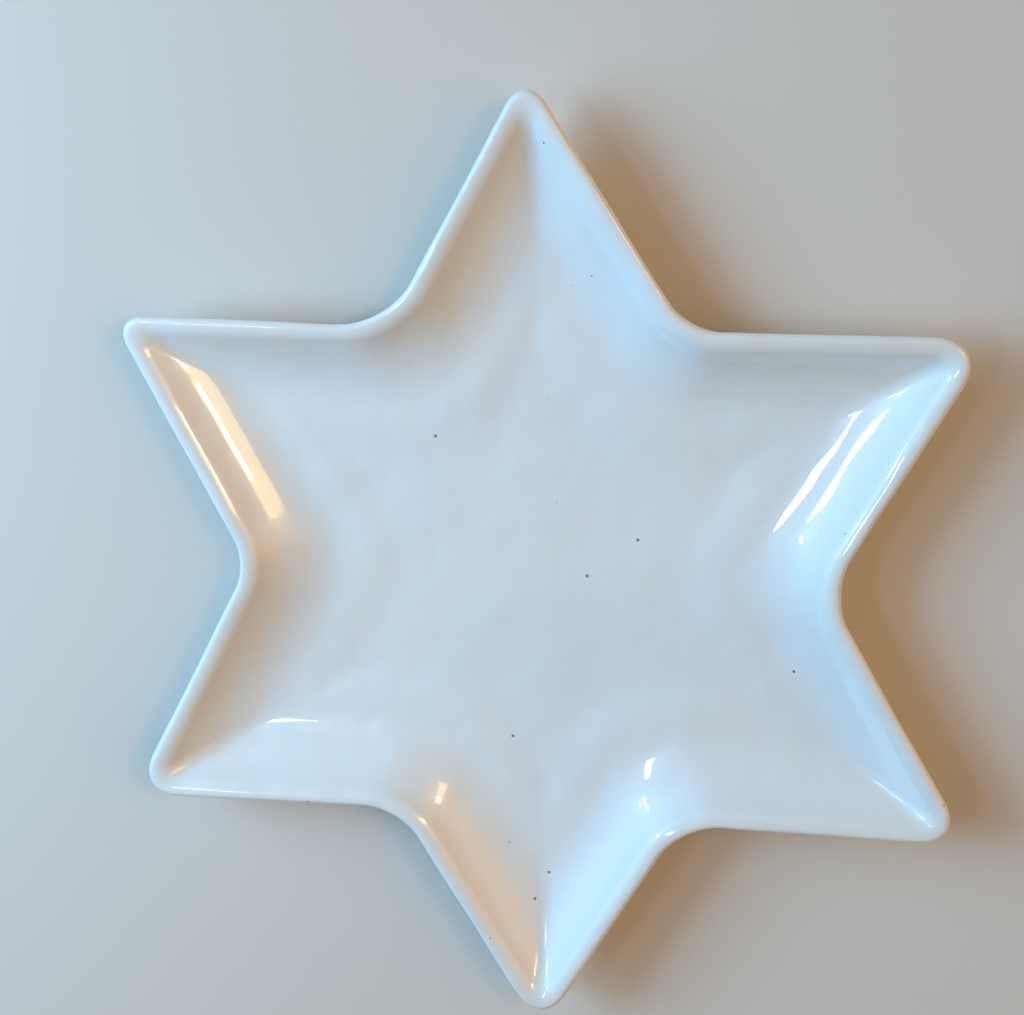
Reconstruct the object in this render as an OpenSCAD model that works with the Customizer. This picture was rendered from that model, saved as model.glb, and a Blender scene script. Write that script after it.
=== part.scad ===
// Six-pointed star dish: one fired clay body under a glass glaze.
// Millimetres. It lies on its foot rim, hollow side up, with one arm along +Y.
// The origin is on the table, under the middle of the dish's overall box.

/* [Star outline] */
// Distance from the star's middle to where the two straight sides of an arm would meet
tip_reach = 157; // [153:1:180]
// How far each tip is off its regular place, [clockwise, outwards], from the +Y arm clockwise
tip_shifts = [[-1.2, -1.7], [-0.3, 0.3], [0.7, -0.4], [-0.6, -2.4], [-1.7, 0.6], [1.7, -0.5]]; // each [-3:3]
// The same for each notch, from the one right of the +Y arm clockwise
notch_shifts = [[1.4, 1.2], [0.7, 0], [-0.6, 0.4], [-0.6, 0.7], [0.5, 2.6], [0.6, -0.4]]; // each [-3:3]
// How far the rounding of each tip runs along its sides, in the same order
tip_blends = [11.5, 17, 16, 16, 15.5, 11.5]; // each [6:0.5:18]
// How far the rounding of each notch runs along its sides
notch_blends = [10, 12.5, 13.5, 11.5, 9, 16]; // each [6:0.5:18]
// How long a tip's rounding still is further in, down the valley of its arm
tip_crease = 4; // [3:0.5:8]
// How much longer a notch's rounding gets further in
notch_growth = 3.5; // [0:0.5:5]
// How far in from the lip's edge these changes take
blend_fade = 5; // [4:0.5:10]

/* [Section] */
// Height of the lip above the table
rim_height = 20; // [20:0.5:24]
// Depth of the inside, from the lip down to the edge of the floor
inside_depth = 12; // [12:0.1:12.5]
// Thickness of the wall and floor, glaze included
wall = 4.6; // [4:0.2:4.8]
// Slope of the wall where it is steepest, in degrees from level
wall_slope = 45; // [40:1:45]
// Radius of the lip on the inside, from its crest down to the wall
lip_roll = 6.5; // [5:0.25:7]
// Radius of the curve that joins the wall to the floor, on the inside
cove_radius = 33; // [28:0.5:33]
// How much lower the middle of the floor is than its edge
floor_dish = 1.2; // [0:0.1:1.2]

/* [Foot rim] */
// Level underside left bare of any rim, from the wall's curve to the foot rim
foot_gap = 3.5; // [3:0.5:5]
// Width of the foot rim's bare bearing face
foot_width = 5; // [4:0.5:6]
// Height up the foot rim at which the glaze stops
glaze_line = 1.2; // [0.6:0.1:1.2]

/* [Glaze] */
// Thickness of the glaze
glaze = 0.4; // [0.3:0.05:0.6]

/* [Hidden] */

arms = 6;
corners = 2 * arms; // tips and notches by turns, from the +Y tip
corner_step = 360 / corners;
notch_share = 1 / sqrt(3); // a notch's reach over a tip's, on a star made of two triangles
tip_steps = 6; // straight pieces in a tip's rounding
notch_steps = 4;

// The lip is rounder inside than outside, and the outside wall runs at one thickness below the inside.
lip_edge = (wall - lip_roll * (1 - cos(wall_slope))) / (1 + cos(wall_slope));
edge_centre = [lip_edge, rim_height - lip_edge]; // [inset, height]
roll_centre = [lip_edge, rim_height - lip_roll];
floor_edge_height = rim_height - inside_depth;
straight_drop = inside_depth - (lip_roll + cove_radius) * (1 - cos(wall_slope));
cove_inset = lip_edge + (lip_roll + cove_radius) * sin(wall_slope) + straight_drop / tan(wall_slope);
cove_centre = [cove_inset, floor_edge_height + cove_radius];
foot_outside = cove_inset + foot_gap;
foot_inside = foot_outside + foot_width;
foot_sink = 1.5; // how far the foot rim runs up into the floor
shortest_side = 37; // of the ring where the level middle starts, longer than its two roundings
middle_inset = (tip_reach - shortest_side / notch_share) / 2;

cove_steps = 6;
roll_steps = 4;
edge_steps = 8;
floor_steps = 4;

// ---- Plan: the star at an inset from the lip's edge ----

function bearing(angle) = [sin(angle), cos(angle)];

function outer_corner(k) =
    let (
        out = bearing(k * corner_step),
        clockwise = [out[1], -out[0]],
        reach = tip_reach * (k % 2 == 0 ? 1 : notch_share),
        shift = k % 2 == 0 ? tip_shifts[k / 2] : notch_shifts[(k - 1) / 2]
    )
    shift[0] * clockwise + (reach + shift[1]) * out;

// A ring further in is the same star at a smaller size.
function sharp_corner(k, inset) = (1 - 2 * inset / tip_reach) * outer_corner(k % corners);

// Tips lose most of their rounding within a short way of the lip; notches gain a little.
function blend_length(k, inset) =
    let (fade = exp(-inset / blend_fade))
    k % 2 == 0
        ? tip_crease + (tip_blends[k / 2] - tip_crease) * fade
        : notch_blends[(k - 1) / 2] + notch_growth * (1 - fade);

function unit(v) = v / norm(v);

// A quarter of an ellipse that leaves one side and joins the next, tangent to both.
function corner_points(k, inset) =
    let (
        here = sharp_corner(k, inset),
        to_last = unit(sharp_corner(k - 1 + corners, inset) - here),
        to_next = unit(sharp_corner(k + 1, inset) - here),
        steps = k % 2 == 0 ? tip_steps : notch_steps
    )
    [for (j = [0:steps])
        let (turn = 90 * j / steps)
        here + blend_length(k, inset) * ((1 - sin(turn)) * to_last + (1 - cos(turn)) * to_next)];

function uncentred_ring(inset) = [for (k = [0:corners - 1]) each corner_points(k, inset)];

function middle_of(values) = (min(values) + max(values)) / 2;

outline = uncentred_ring(0);
star_middle = -[middle_of([for (p = outline) p[0]]), middle_of([for (p = outline) p[1]])];

function ring(inset) = [for (p = uncentred_ring(inset)) p + star_middle];

// ---- Section: [inset, height] points at a depth below the glazed surface ----

function steps_between(from, to, steps) = [for (i = [0:steps]) from + (to - from) * i / steps];

function arc(centre, radius, from, to, steps) =
    [for (angle = steps_between(from, to, steps)) centre + radius * [cos(angle), sin(angle)]];

// Height of the floor's inside face: level at its edge and at its middle.
function floor_height(inset) =
    floor_edge_height
        - floor_dish * (1 - cos(180 * (inset - cove_inset) / (middle_inset - cove_inset))) / 2;

function wall_arc(centre, radius, from, to, steps) =
    arc(centre, radius, from - wall_slope, to - wall_slope, steps);

// From the middle of the floor up the wall and over the lip to the top of the outside wall.
function upper_section(depth) =
    let (
        cove = wall_arc(cove_centre, cove_radius + depth, 270 + wall_slope, 270, cove_steps),
        roll = wall_arc(roll_centre, lip_roll - depth, 90, 90 + wall_slope, roll_steps),
        edge = wall_arc(edge_centre, lip_edge - depth, 90 + wall_slope, 270, edge_steps)
    )
    [
        for (u = steps_between(middle_inset, foot_outside, floor_steps)) [u, floor_height(u) - depth],
        each cove,
        (cove[cove_steps] + roll[0]) / 2,
        each roll,
        for (i = [1:edge_steps]) edge[i]
    ];

// Down the outside of the wall and in along the underside to an inset.
function lower_section(depth, last_inset) =
    let (
        edge_end = edge_centre + (lip_edge - depth) * [-sin(wall_slope), -cos(wall_slope)],
        cove = wall_arc(cove_centre, cove_radius + wall - depth, 270, 270 + wall_slope, cove_steps)
    )
    [(edge_end + cove[0]) / 2, each cove, [last_inset, floor_height(last_inset) - wall + depth]];

// The underside inside the foot rim, from the middle out to an inset.
function recess_section(depth, last_inset) = [
    for (u = steps_between(middle_inset, last_inset, floor_steps)) [u, floor_height(u) - wall + depth]
];

function reversed(list) = [for (i = [len(list) - 1:-1:0]) list[i]];

// A closed solid from a section that starts and ends at the star's middle.
module ring_solid(section) {
    per_ring = len(outline);
    rings = len(section);
    first_pole = rings * per_ring;
    last_pole = first_pole + 1;
    points = [
        for (s = section) each [for (p = ring(s[0])) [p[0], p[1], s[1]]],
        [star_middle[0], star_middle[1], section[0][1]],
        [star_middle[0], star_middle[1], section[rings - 1][1]]
    ];
    faces = [
        for (i = [0:per_ring - 1])
            let (next = (i + 1) % per_ring)
            each [
                [first_pole, i, next],
                for (r = [0:rings - 2])
                    let (here = r * per_ring, beyond = here + per_ring)
                    each [
                        [here + i, beyond + i, beyond + next],
                        [here + i, beyond + next, here + next]
                    ],
                [last_pole, (rings - 1) * per_ring + next, (rings - 1) * per_ring + i]
            ]
    ];
    polyhedron(points, faces, convexity = 6);
}

// ---- Parts ----

module bowl() {
    ring_solid(concat(
        upper_section(glaze),
        lower_section(glaze, foot_outside),
        reversed(recess_section(glaze, foot_inside))
    ));
}

module foot_rim() {
    linear_extrude(height = floor_height(foot_inside) - wall + foot_sink)
        difference() {
            polygon(ring(foot_outside));
            polygon(ring(foot_inside));
        }
}

// The fired clay. Only the foot rim's bearing face and the band above it are bare.
module clay_body() {
    color([0.84, 0.80, 0.73])
        union() {
            bowl();
            foot_rim();
        }
}

// The glaze, in two solids: over the whole dish down to the foot rim, and the patch inside it.
module glaze_coat() {
    color([0.88, 0.91, 0.94]) {
        ring_solid(concat(
            upper_section(0),
            lower_section(0, foot_outside - glaze),
            [[foot_outside - glaze, glaze_line], [foot_outside, glaze_line]],
            reversed(lower_section(glaze, foot_outside)),
            reversed(upper_section(glaze))
        ));
        ring_solid(concat(
            recess_section(glaze, foot_inside),
            [[foot_inside, glaze_line], [foot_inside + glaze, glaze_line]],
            reversed(recess_section(0, foot_inside + glaze))
        ));
    }
}

clay_body();
glaze_coat();
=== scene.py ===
# A six-pointed star dish: one clay body under a white glaze, on a pale bench.
# Metres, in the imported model's frame: the dish stands on z = 0 with one arm along +Y.
import math

import bmesh
import bpy
from mathutils import Matrix, Quaternion, Vector


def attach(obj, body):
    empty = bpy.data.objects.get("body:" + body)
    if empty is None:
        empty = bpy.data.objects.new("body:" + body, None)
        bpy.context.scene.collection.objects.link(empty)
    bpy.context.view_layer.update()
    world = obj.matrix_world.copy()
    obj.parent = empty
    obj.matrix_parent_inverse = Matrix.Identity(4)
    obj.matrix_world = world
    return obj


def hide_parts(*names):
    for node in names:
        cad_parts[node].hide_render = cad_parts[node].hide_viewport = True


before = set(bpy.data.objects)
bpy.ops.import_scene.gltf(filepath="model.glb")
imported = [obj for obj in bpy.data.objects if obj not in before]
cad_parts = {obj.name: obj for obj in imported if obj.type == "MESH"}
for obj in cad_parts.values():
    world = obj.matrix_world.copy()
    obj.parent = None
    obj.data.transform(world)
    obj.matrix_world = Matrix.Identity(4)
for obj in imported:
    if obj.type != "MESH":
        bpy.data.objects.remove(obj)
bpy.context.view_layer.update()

print("frame loaded")

# ---- the dish's shape ----

dish = {
    "tipReach": 0.157,  # from the star's middle to where an arm's two sides would meet
    # how far tips and notches are off their regular places: (clockwise, outwards), from the +Y arm on
    "tipShifts": (
        (-0.0012, -0.0017),
        (-0.0003, 0.0003),
        (0.0007, -0.0004),
        (-0.0006, -0.0024),
        (-0.0017, 0.0006),
        (0.0017, -0.0005),
    ),
    "notchShifts": (
        (0.0014, 0.0012),
        (0.0007, 0.0),
        (-0.0006, 0.0004),
        (-0.0006, 0.0007),
        (0.0005, 0.0026),
        (0.0006, -0.0004),
    ),
    "tipBlends": (0.0115, 0.017, 0.016, 0.016, 0.0155, 0.0115),  # how far a rounding runs along its sides
    "notchBlends": (0.010, 0.0125, 0.0135, 0.0115, 0.009, 0.016),
    "tipCrease": 0.004,  # what is left of a tip's rounding further in, down the arm's valley
    "notchGrowth": 0.0035,  # how much longer a notch's rounding gets further in
    "blendFade": 0.005,  # how far in from the lip's edge these changes take
    "rimHeight": 0.020,
    "insideDepth": 0.012,
    "wall": 0.0046,
    "wallSlope": math.radians(45),  # where it is steepest
    "lipRoll": 0.0065,  # radius from the lip's crest down into the hollow
    "coveRadius": 0.033,  # between the wall and the floor, on the inside
    "floorDish": 0.0012,  # how much lower the floor's middle is
    "middleInset": 0.04646,  # where the level middle of the floor starts
    "footGap": 0.0035,  # level underside between the wall's curve and the foot
    "footWidth": 0.005,
    "glazeLine": 0.0012,  # height up the foot at which the glaze stops
    "glaze": 0.0004,
    "blendSegments": 10,
    "sideCuts": 14,  # across each straight stretch of a ring
    "middleRings": 5,
}
corners = 12  # tips and notches by turns
cornerStep = 360 / corners
notchShare = 1 / math.sqrt(3)  # a notch's reach over a tip's

slope = dish["wallSlope"]
wallAngle = 90 - math.degrees(slope)  # of the wall's normal where the wall is steepest
edgeRadius = (dish["wall"] - dish["lipRoll"] * (1 - math.cos(slope))) / (1 + math.cos(slope))
floorEdge = dish["rimHeight"] - dish["insideDepth"]
coveHeight = floorEdge + dish["coveRadius"]
curveDrop = (dish["lipRoll"] + dish["coveRadius"]) * (1 - math.cos(slope))
coveInset = (
    edgeRadius
    + (dish["lipRoll"] + dish["coveRadius"]) * math.sin(slope)
    + (dish["insideDepth"] - curveDrop) / math.tan(slope)
)
footOutside = coveInset + dish["footGap"]
footInside = footOutside + dish["footWidth"]


def steps(start, end, count):
    return [start + (end - start) * i / count for i in range(count + 1)]


def arc(centre, radius, start, end, count):
    turns = [math.radians(angle) for angle in steps(start, end, count)]
    return [(centre[0] + radius * math.cos(turn), centre[1] + radius * math.sin(turn)) for turn in turns]


def floorHeight(inset):
    share = (inset - coveInset) / (dish["middleInset"] - coveInset)
    return floorEdge - dish["floorDish"] * (1 - math.cos(math.pi * share)) / 2


def straightRun(a, b, count):
    # its points without the two ends
    return [(a[0] + (b[0] - a[0]) * i / count, a[1] + (b[1] - a[1]) * i / count) for i in range(1, count)]


# (inset, height) from just above the lip's outermost line, over the lip and down to the floor
def insideProfile():
    edge = arc((edgeRadius, dish["rimHeight"] - edgeRadius), edgeRadius, 170, 90, 5)
    roll = arc((edgeRadius, dish["rimHeight"] - dish["lipRoll"]), dish["lipRoll"], 90, wallAngle, 6)
    cove = arc((coveInset, coveHeight), dish["coveRadius"], 180 + wallAngle, 270, 10)
    floor = [(u, floorHeight(u)) for u in steps(coveInset, dish["middleInset"], 6)[1:]]
    return edge + roll[1:] + cove + floor


# from just below that line, down the outside, round the foot and in to the middle underneath
def outsideProfile():
    edge = arc((edgeRadius, dish["rimHeight"] - edgeRadius), edgeRadius, 190, 180 + wallAngle, 3)
    cove = arc((coveInset, coveHeight), dish["coveRadius"] + dish["wall"], 180 + wallAngle, 270, 10)
    glazedWall = footOutside - dish["glaze"]
    glazedRecess = footInside + dish["glaze"]
    foot = [
        (glazedWall, floorHeight(footOutside) - dish["wall"]),
        (glazedWall, dish["glazeLine"]),
        (footOutside, dish["glazeLine"]),
        (footOutside, 0.0),
        (footInside, 0.0),
        (footInside, dish["glazeLine"]),
        (glazedRecess, dish["glazeLine"]),
        (glazedRecess, floorHeight(footInside) - dish["wall"]),
    ]
    recess = [(u, floorHeight(u) - dish["wall"]) for u in steps(glazedRecess, dish["middleInset"], 4)[1:]]
    return edge + straightRun(edge[-1], cove[0], 3) + cove + foot + recess


def pick(what, test):
    # in edit mode, selects just the vertices, edges or faces that pass the test
    bpy.ops.mesh.select_mode(type=what)
    bpy.ops.mesh.select_all(action="DESELECT")
    shell = bmesh.from_edit_mesh(bpy.context.object.data)
    for part in {"VERT": shell.verts, "EDGE": shell.edges, "FACE": shell.faces}[what]:
        part.select_set(test(part))
    shell.select_flush_mode()
    bmesh.update_edit_mesh(bpy.context.object.data)


def bearing(point):
    # clockwise from +Y, in degrees
    return math.degrees(math.atan2(point.x, point.y)) % 360


def onBearing(point, angle):
    return abs((bearing(point) - angle + 180) % 360 - 180) < 3


def alongSide(edge):
    # a ring's straight stretch: long, level, and close to 0, 60 or 120 degrees
    run = edge.verts[1].co - edge.verts[0].co
    turn = math.degrees(math.atan2(run.y, run.x)) % 60
    return run.length > 0.008 and abs(run.z) < 1e-6 and min(turn, 60 - turn) < 5


def outwards(k):
    turn = math.radians(cornerStep * k)
    return Vector((math.sin(turn), math.cos(turn), 0))


def outerCorner(k):
    # where the two sides at a tip or a notch would meet, at the lip's outermost line
    out = outwards(k)
    clockwise = Vector((out.y, -out.x, 0))
    reach = dish["tipReach"] * (1 if k % 2 == 0 else notchShare)
    aside, further = dish["tipShifts" if k % 2 == 0 else "notchShifts"][k // 2]
    return out * (reach + further) + clockwise * aside


def ringScale(inset):
    # a ring further in is the same star at a smaller size
    return 1 - 2 * inset / dish["tipReach"]


def followProfile(profile):
    # from the selected end face, one ring for each point of the profile
    for here, beyond in zip(profile, profile[1:]):
        scale = ringScale(beyond[0]) / ringScale(here[0])
        bpy.ops.mesh.extrude_region_move(TRANSFORM_OT_translate={"value": (0, 0, beyond[1] - here[1])})
        bpy.ops.transform.resize(value=(scale, scale, 1), center_override=(0, 0, 0))


def fillMiddle():
    # rings that shrink towards the middle of the selected end face, then a fan
    for ring in range(dish["middleRings"], 1, -1):
        bpy.ops.mesh.extrude_region_move()
        scale = (ring - 1) / ring
        bpy.ops.transform.resize(value=(scale, scale, 1), center_override=(0, 0, 0))
    bpy.ops.mesh.poke()


def blendAt(k, inset):
    fade = math.exp(-inset / dish["blendFade"])
    if k % 2 == 0:
        return dish["tipCrease"] + (dish["tipBlends"][k // 2] - dish["tipCrease"]) * fade
    return dish["notchBlends"][k // 2] + dish["notchGrowth"] * (1 - fade)


def roundCorners(piece):
    # a bevel weight on each corner's edges says how much of the ring's side the rounding takes there
    mesh = piece.data
    weights = mesh.attributes.new("bevel_weight_edge", "FLOAT", "EDGE")
    for edge in mesh.edges:
        a, b = (mesh.vertices[i].co for i in edge.vertices)
        k = round(bearing(a) / cornerStep) % corners
        if not (onBearing(a, cornerStep * k) and onBearing(b, cornerStep * k)):
            continue
        last, here, beyond = (outerCorner(i % corners) for i in (k - 1, k, k + 1))
        scale = (a.xy.length + b.xy.length) / 2 / here.length
        side = ((last - here).length + (beyond - here).length) / 2 * scale
        weights.data[edge.index].value = blendAt(k, dish["tipReach"] * (1 - scale) / 2) / side
    bpy.ops.object.modifier_add(type="BEVEL")
    rounding = piece.modifiers[-1]
    rounding.offset_type = "PERCENT"
    rounding.width_pct = 100
    rounding.limit_method = "WEIGHT"
    rounding.segments = dish["blendSegments"]
    rounding.profile = 0.5
    rounding.use_clamp_overlap = False
    bpy.ops.object.modifier_apply(modifier=rounding.name)


def isEnd(face, up):
    return len(face.verts) > 4 and (face.normal.z > 0) == up


def modelDish():
    # starts as a thin star-shaped slab at the lip's outermost line
    inside, outside = insideProfile(), outsideProfile()
    bpy.ops.object.select_all(action="DESELECT")
    bpy.ops.mesh.primitive_cylinder_add(
        vertices=corners,
        radius=dish["tipReach"],
        depth=inside[0][1] - outside[0][1],
        location=(0, 0, dish["rimHeight"] - edgeRadius),
        end_fill_type="NGON",
    )
    bpy.ops.object.transform_apply(location=True, rotation=True, scale=True)
    bpy.ops.object.mode_set(mode="EDIT")
    for k in range(corners):
        pick("VERT", lambda v: onBearing(v.co, cornerStep * k))
        bpy.ops.transform.translate(value=outerCorner(k) - outwards(k) * dish["tipReach"])
    bpy.ops.mesh.select_all(action="SELECT")
    scale = ringScale(inside[0][0])
    bpy.ops.transform.resize(value=(scale, scale, 1), center_override=(0, 0, 0))

    # the hollow from the top face, the outside and the foot from the bottom face
    pick("FACE", lambda f: isEnd(f, True))
    followProfile(inside)
    pick("FACE", lambda f: isEnd(f, False))
    followProfile(outside)

    bpy.ops.object.mode_set(mode="OBJECT")
    roundCorners(bpy.context.object)
    bpy.ops.object.mode_set(mode="EDIT")
    pick("EDGE", alongSide)
    bpy.ops.mesh.subdivide(number_cuts=dish["sideCuts"])
    for up in (True, False):
        pick("FACE", lambda f: isEnd(f, up))
        fillMiddle()
    bpy.ops.object.mode_set(mode="OBJECT")
    return bpy.context.object


def centreStar(piece):
    # the uneven roundings put the star's middle a little off the middle of its box
    xs = [v.co.x for v in piece.data.vertices]
    ys = [v.co.y for v in piece.data.vertices]
    bpy.ops.object.mode_set(mode="EDIT")
    bpy.ops.mesh.select_all(action="SELECT")
    bpy.ops.transform.translate(value=(-(min(xs) + max(xs)) / 2, -(min(ys) + max(ys)) / 2, 0))
    bpy.ops.object.mode_set(mode="OBJECT")


def selectOnly(piece):
    bpy.ops.object.select_all(action="DESELECT")
    piece.select_set(True)
    bpy.context.view_layer.objects.active = piece


def copyOf(piece, name):
    selectOnly(piece)
    bpy.ops.object.duplicate()
    copy = bpy.context.object
    copy.name = copy.data.name = name
    return copy


hand = {
    "swell": 0.0011,  # full range of the unevenness left by the mould and the sponge
    "swellSize": 0.045,
    "footEase": 0.0004,  # rounding of the foot's two edges
}


def warpByHand(piece):
    # slow unevenness over the whole dish, with the bearing face ground level again
    clouds = bpy.data.textures.new("hand unevenness", "CLOUDS")
    clouds.noise_scale = hand["swellSize"]
    clouds.noise_depth = 1
    selectOnly(piece)
    bpy.ops.object.modifier_add(type="DISPLACE")
    warp = piece.modifiers[-1]
    warp.texture = clouds
    warp.texture_coords = "LOCAL"
    warp.strength = hand["swell"]
    warp.mid_level = 0.5
    bpy.ops.object.modifier_apply(modifier=warp.name)
    bpy.ops.object.mode_set(mode="EDIT")
    pick("FACE", isBearing)
    bpy.ops.transform.resize(value=(1, 1, 0), center_override=(0, 0, 0))
    pick("EDGE", isBearingEdge)
    bpy.ops.mesh.bevel(offset=hand["footEase"], segments=3, profile=0.5)
    bpy.ops.object.mode_set(mode="OBJECT")


def isBearing(face):
    return face.normal.z < -0.9 and face.calc_center_median().z < dish["glazeLine"] / 2


def isBearingEdge(edge):
    return len(edge.link_faces) == 2 and isBearing(edge.link_faces[0]) != isBearing(edge.link_faces[1])


# ---- finishes ----


class Wire:
    # one socket of a material, so that maths on it reads as maths
    def __init__(self, tree, socket):
        self.tree = tree
        self.socket = socket

    def node(self, kind, settings=None, values=None, output=0):
        made = self.tree.nodes.new(kind)
        for name, value in (settings or {}).items():
            setattr(made, name, value)
        for name, value in (values or {}).items():
            if isinstance(value, Wire):
                self.tree.links.new(value.socket, made.inputs[name])
            else:
                made.inputs[name].default_value = value
        return Wire(self.tree, made.outputs[output])

    def maths(self, operation, first, second):
        return self.node("ShaderNodeMath", {"operation": operation}, {0: first, 1: second})

    def __add__(self, other):
        return self.maths("ADD", self, other)

    def __sub__(self, other):
        return self.maths("SUBTRACT", self, other)

    def __rsub__(self, other):
        return self.maths("SUBTRACT", other, self)

    def __mul__(self, other):
        return self.maths("MULTIPLY", self, other)

    def __pow__(self, other):
        return self.maths("POWER", self, other)

    __radd__ = __add__
    __rmul__ = __mul__

    def atLeast(self, low):
        return self.maths("MAXIMUM", self, low)

    def between(self, low, high):
        # 0 below low, 1 above high, smooth in the middle
        return self.node(
            "ShaderNodeMapRange",
            {"interpolation_type": "SMOOTHSTEP"},
            {"Value": self, "From Min": low, "From Max": high},
        )

    def noise(self, scale, detail=2.0, roughness=0.5):
        values = {"Vector": self, "Scale": scale, "Detail": detail, "Roughness": roughness}
        return self.node("ShaderNodeTexNoise", None, values, "Fac")

    def dots(self, scale, size):
        # 1 in a round dot in some cells of a coarse pattern, soft between the two sizes
        cells = self.node("ShaderNodeTexVoronoi", None, {"Vector": self, "Scale": scale}, "Distance")
        return 1 - cells.between(*size)

    def height(self):
        return self.node("ShaderNodeSeparateXYZ", None, {0: self}, 2)

    def plain(self, colour):
        flat = self.node("ShaderNodeRGB")
        flat.socket.default_value = colour
        return flat

    def tint(self, mask, colour):
        # this colour, going over to the other where the mask is 1
        return self.node("ShaderNodeMix", {"data_type": "RGBA"}, {0: mask, 6: self, 7: colour}, 2)


def newFinish(name):
    # a material, the place on the piece to read patterns at, and its shader
    material = bpy.data.materials.new(name)
    material.use_nodes = True
    tree = material.node_tree
    shader = tree.nodes["Principled BSDF"]
    place = Wire(tree, tree.nodes.new("ShaderNodeTexCoord").outputs["Object"])
    return material, place, shader


def joinUp(place, shader, sockets):
    for name, wire in sockets.items():
        place.tree.links.new(wire.socket, shader.inputs[name])


glazeLook = {
    "white": (0.80, 0.82, 0.82, 1),
    "milk": (0.74, 0.78, 0.80, 1),  # where the glaze lies thick, in the hollow
    "thickBelow": (0.012, 0.004),  # how far under the crest it is thick, and how far not
    "warm": (0.80, 0.74, 0.66, 1),  # where it breaks thin over the lip
    "crestDrop": 0.0015,
    "speck": (0.10, 0.07, 0.05, 1),
    "specks": 70.0,
    "speckSize": (0.026, 0.044),
    "pit": 0.00005,  # depth of a pinhole
    "ripple": (48.0, 0.0009),  # slow waves in the glaze: how close together, how deep
    "grain": (260.0, 0.000005),
    "roughness": 0.22,
    "coatRoughness": 0.025,
    "ior": 1.5,
}


def whiteGlaze():
    material, place, shader = newFinish("white glaze")
    shader.inputs["IOR"].default_value = glazeLook["ior"]
    shader.inputs["Coat IOR"].default_value = glazeLook["ior"]
    shader.inputs["Coat Roughness"].default_value = glazeLook["coatRoughness"]
    shader.inputs["Coat Weight"].default_value = 1.0
    height = place.height()
    crestHeight = dish["rimHeight"]
    deep, shallow = (crestHeight - drop for drop in glazeLook["thickBelow"])

    mottle = place.noise(180.0, 3.0, 0.6)
    thick = place.noise(14.0, 3.0).between(0.35, 0.7) * (1 - height.between(deep, shallow))
    crest = height.between(crestHeight - glazeLook["crestDrop"], crestHeight) * mottle.between(0.3, 0.7)
    colour = place.plain(glazeLook["white"]).tint(thick * 0.6, glazeLook["milk"])
    colour = colour.tint(crest * 0.22, glazeLook["warm"])
    specks = place.dots(glazeLook["specks"], glazeLook["speckSize"])  # iron specks and pinholes
    colour = colour.tint(specks * 0.85, glazeLook["speck"])

    rough = mottle * 0.06 + glazeLook["roughness"]
    (rippleScale, rippleDepth), (grainScale, grainDepth) = glazeLook["ripple"], glazeLook["grain"]
    ripples = place.noise(rippleScale, 2.5) * rippleDepth + place.noise(grainScale, 2.0) * grainDepth
    relief = ripples - specks * glazeLook["pit"]
    bump = place.node("ShaderNodeBump", None, {"Strength": 1.0, "Distance": 1.0, "Height": relief})
    joinUp(place, shader, {"Base Color": colour, "Roughness": rough, "Normal": bump})
    return material


clayLook = {
    "clay": (0.62, 0.55, 0.45, 1),
    "pale": (0.74, 0.69, 0.60, 1),
    "iron": (0.30, 0.19, 0.11, 1),
    "ironSpots": 420.0,
    "ironSize": (0.10, 0.22),
    "rubbed": (0.42, 0.38, 0.34, 1),  # dirt on the bearing face
    "rubbedUpTo": 0.0004,
    "grain": (900.0, 0.00012),  # how fine, how deep
    "blotch": (60.0, 0.0002),
    "roughness": 0.78,
    "ior": 1.45,
}


def bareClay():
    material, place, shader = newFinish("bare clay")
    shader.inputs["IOR"].default_value = clayLook["ior"]
    (grainScale, grainDepth), (blotchScale, blotchDepth) = clayLook["grain"], clayLook["blotch"]
    grain = place.noise(grainScale, 4.0, 0.7)
    blotch = place.noise(blotchScale, 3.0)
    colour = place.plain(clayLook["clay"]).tint(blotch.between(0.35, 0.65), clayLook["pale"])
    rubbed = (1 - place.height().between(0.0, clayLook["rubbedUpTo"])) * grain.between(0.45, 0.7)
    colour = colour.tint(rubbed * 0.6, clayLook["rubbed"])
    iron = place.dots(clayLook["ironSpots"], clayLook["ironSize"])
    colour = colour.tint(iron * 0.5, clayLook["iron"])
    relief = grain * grainDepth + blotch * blotchDepth
    bump = place.node("ShaderNodeBump", None, {"Strength": 0.8, "Distance": 1.0, "Height": relief})
    rough = grain * 0.15 + clayLook["roughness"]
    joinUp(place, shader, {"Base Color": colour, "Roughness": rough, "Normal": bump})
    return material


# ---- the two pieces ----

body = modelDish()
centreStar(body)
print("dish modelled:", len(body.data.polygons), "faces")

body.data.materials.append(whiteGlaze())
body.data.materials.append(bareClay())
bpy.ops.object.mode_set(mode="EDIT")
pick("FACE", lambda f: f.calc_center_median().z < dish["glazeLine"] + 1e-6)
body.active_material_index = 1
bpy.ops.object.material_slot_assign()
bpy.ops.object.mode_set(mode="OBJECT")
warpByHand(body)

clayBody = copyOf(body, "clayBody")
bpy.ops.object.mode_set(mode="EDIT")
pick("FACE", lambda f: f.material_index == 0)
bpy.ops.transform.shrink_fatten(value=-dish["glaze"], use_even_offset=True)
bpy.ops.object.mode_set(mode="OBJECT")

glazeSkin = copyOf(body, "glazeSkin")
bpy.ops.object.mode_set(mode="EDIT")
pick("FACE", lambda f: f.material_index == 1)
bpy.ops.mesh.delete(type="FACE")
bpy.ops.object.mode_set(mode="OBJECT")
bpy.ops.object.modifier_add(type="SOLIDIFY")
skin = glazeSkin.modifiers[-1]
skin.thickness = dish["glaze"]
skin.offset = -1
skin.use_even_offset = True
bpy.ops.object.modifier_apply(modifier=skin.name)
bpy.data.objects.remove(body)

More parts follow.
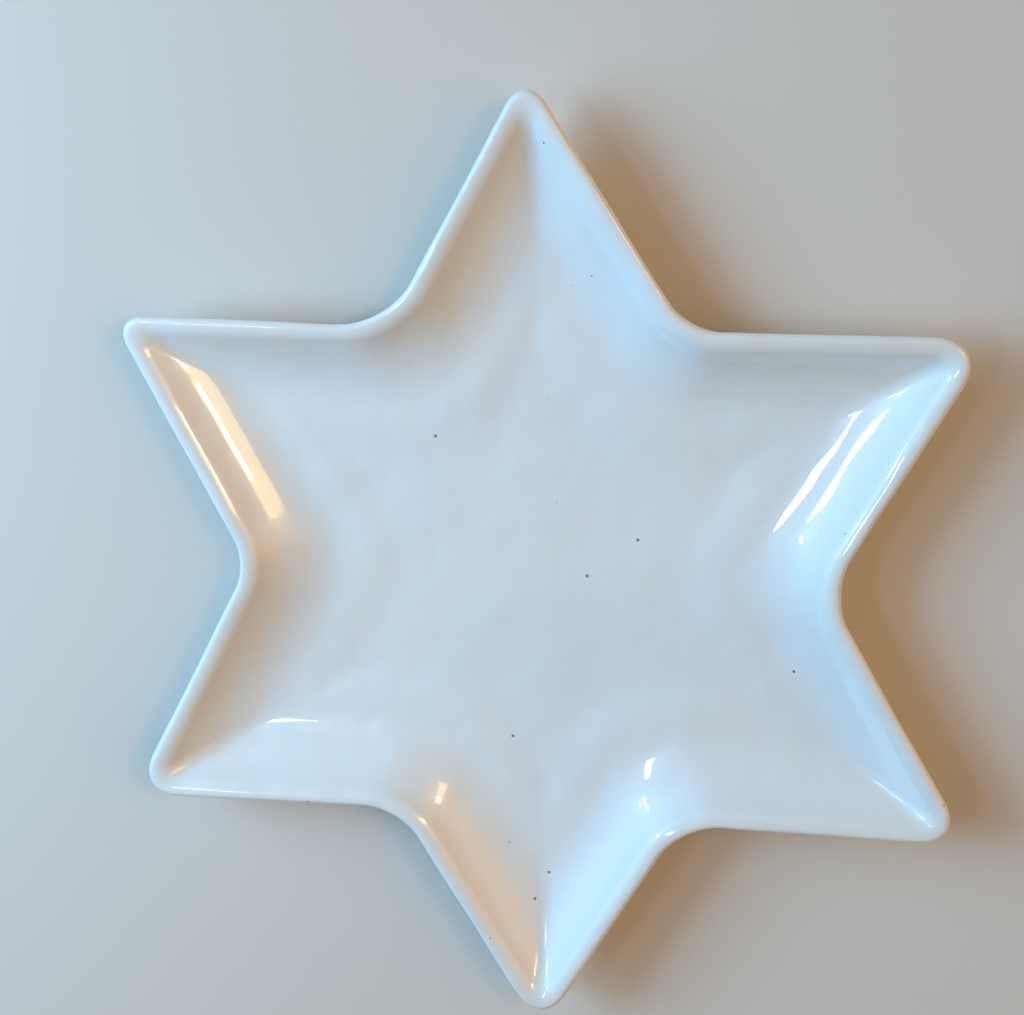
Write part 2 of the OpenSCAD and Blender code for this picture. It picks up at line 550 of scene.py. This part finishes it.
for piece, node, slot in ((clayBody, "clay_body", "bare_clay"), (glazeSkin, "glaze_coat", "glaze")):
    selectOnly(piece)
    finish = piece.data.materials[0 if piece is glazeSkin else 1]
    for face in piece.data.polygons:
        face.material_index = 0
    piece.data.materials.clear()
    piece.data.materials.append(finish)
    bpy.ops.object.shade_smooth_by_angle(angle=math.radians(40))
    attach(piece, "root")
    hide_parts(node)
    print(piece.name, len(piece.data.polygons), "faces")

# ---- bench, light and camera ----


benchLook = {
    "across": 8.0,
    "colour": (0.66, 0.61, 0.56, 1),
    "roughness": 0.9,
}


def benchTop():
    bpy.ops.object.select_all(action="DESELECT")
    bpy.ops.mesh.primitive_plane_add(size=benchLook["across"])
    bench = bpy.context.object
    bench.name = "bench"
    material, place, shader = newFinish("pale bench")
    shader.inputs["Base Color"].default_value = benchLook["colour"]
    shader.inputs["Roughness"].default_value = benchLook["roughness"]
    bench.data.materials.append(material)


def towards(bearingAngle, elevation):
    # the direction of a bearing, clockwise from +Y, and an elevation
    a, e = math.radians(bearingAngle), math.radians(elevation)
    return Vector((math.sin(a) * math.cos(e), math.cos(a) * math.cos(e), math.sin(e)))


# bearing, elevation, distance, width, height, watts, colour, lean
lights = {
    "window upper pane": (270, 66, 1.6, 0.05, 0.34, 1.35, (0.60, 0.83, 1.0), -42),
    "window lower pane": (284.7, 43, 1.6, 0.05, 0.34, 1.35, (0.60, 0.83, 1.0), -22),
    "window side pane": (279, 43, 1.6, 0.03, 0.12, 0.3, (0.60, 0.83, 1.0), 0),
    "lamp bulb": (63, 53, 1.7, 0.13, 0.12, 1.5, (1.0, 0.86, 0.55), 0),
    "lamp shade": (63.5, 59, 1.75, 0.19, 0.60, 2.6, (1.0, 0.64, 0.15), 0),
    "daylight fill": (285, 33, 0.70, 0.5, 0.4, 4.4, (0.34, 0.68, 1.0), 0),
}


def softLight(name):
    # an area light that faces the dish
    bearingAngle, elevation, distance, wide, high, watts, colour, lean = lights[name]
    away = towards(bearingAngle, elevation)
    bpy.ops.object.light_add(type="AREA", location=away * distance)
    light = bpy.context.object
    light.name = name
    light.data.shape = "RECTANGLE"
    light.data.size = wide
    light.data.size_y = high
    light.data.energy = watts
    light.data.color = colour
    light.rotation_mode = "QUATERNION"
    light.rotation_quaternion = away.to_track_quat("Z", "Y") @ Quaternion((0, 0, 1), math.radians(lean))
    light.visible_glossy = name != "daylight fill"  # the fill shows in no reflection


room = {
    "even": (1.0, 0.96, 0.88, 0.09),  # colour and strength from all round
    "day": (0.32, 0.66, 1.0, 2.2),  # the daylight side
    "dayFrom": (284, 33),
    "lamp": (1.0, 0.55, 0.22, 1.75),  # the lamplight side
    "lampFrom": (80, 38),
    "tightness": 8,  # how narrow the two sides are
}


def roomLight():
    # soft light from two sides of the room, fading into an even one
    world = bpy.data.worlds.new("room")
    world.use_nodes = True
    tree = world.node_tree
    tree.nodes.clear()
    direction = Wire(tree, tree.nodes.new("ShaderNodeTexCoord").outputs["Generated"])
    *colour, strength = room["even"]
    glow = direction.node("ShaderNodeBackground", None, {"Color": (*colour, 1), "Strength": strength})
    for side in ("day", "lamp"):
        facing = direction.node(
            "ShaderNodeVectorMath",
            {"operation": "DOT_PRODUCT"},
            {0: direction, 1: towards(*room[side + "From"])},
            "Value",
        )
        *colour, strength = room[side]
        falling = facing.atLeast(0.0) ** room["tightness"] * strength
        more = direction.node("ShaderNodeBackground", None, {"Color": (*colour, 1), "Strength": falling})
        glow = direction.node("ShaderNodeAddShader", None, {0: glow, 1: more})
    tree.links.new(glow.socket, tree.nodes.new("ShaderNodeOutputWorld").inputs["Surface"])
    bpy.context.scene.world = world


lens = {
    "length": 77.47,
    "place": (0.12935, 0.19463, 0.6605),
    "aim": (-0.00636, 0.02123, 0.0184),
    "roll": math.radians(-0.745),
}


def lookThrough():
    place, aim = Vector(lens["place"]), Vector(lens["aim"])
    bpy.ops.object.camera_add(location=place)
    camera = bpy.context.object
    camera.data.lens = lens["length"]
    camera.data.clip_start = 0.01
    back = (place - aim).normalized()
    right = Vector((0, 1, 0)).cross(back).normalized()
    up = back.cross(right)
    level = Matrix((right, up, back)).transposed()
    camera.rotation_mode = "QUATERNION"
    camera.rotation_quaternion = level.to_quaternion() @ Quaternion((0, 0, 1), lens["roll"])
    bpy.context.scene.camera = camera


roomLight()
for name in lights:
    softLight(name)
benchTop()
lookThrough()
bpy.context.scene.view_settings.view_transform = "Standard"
print("stage set")
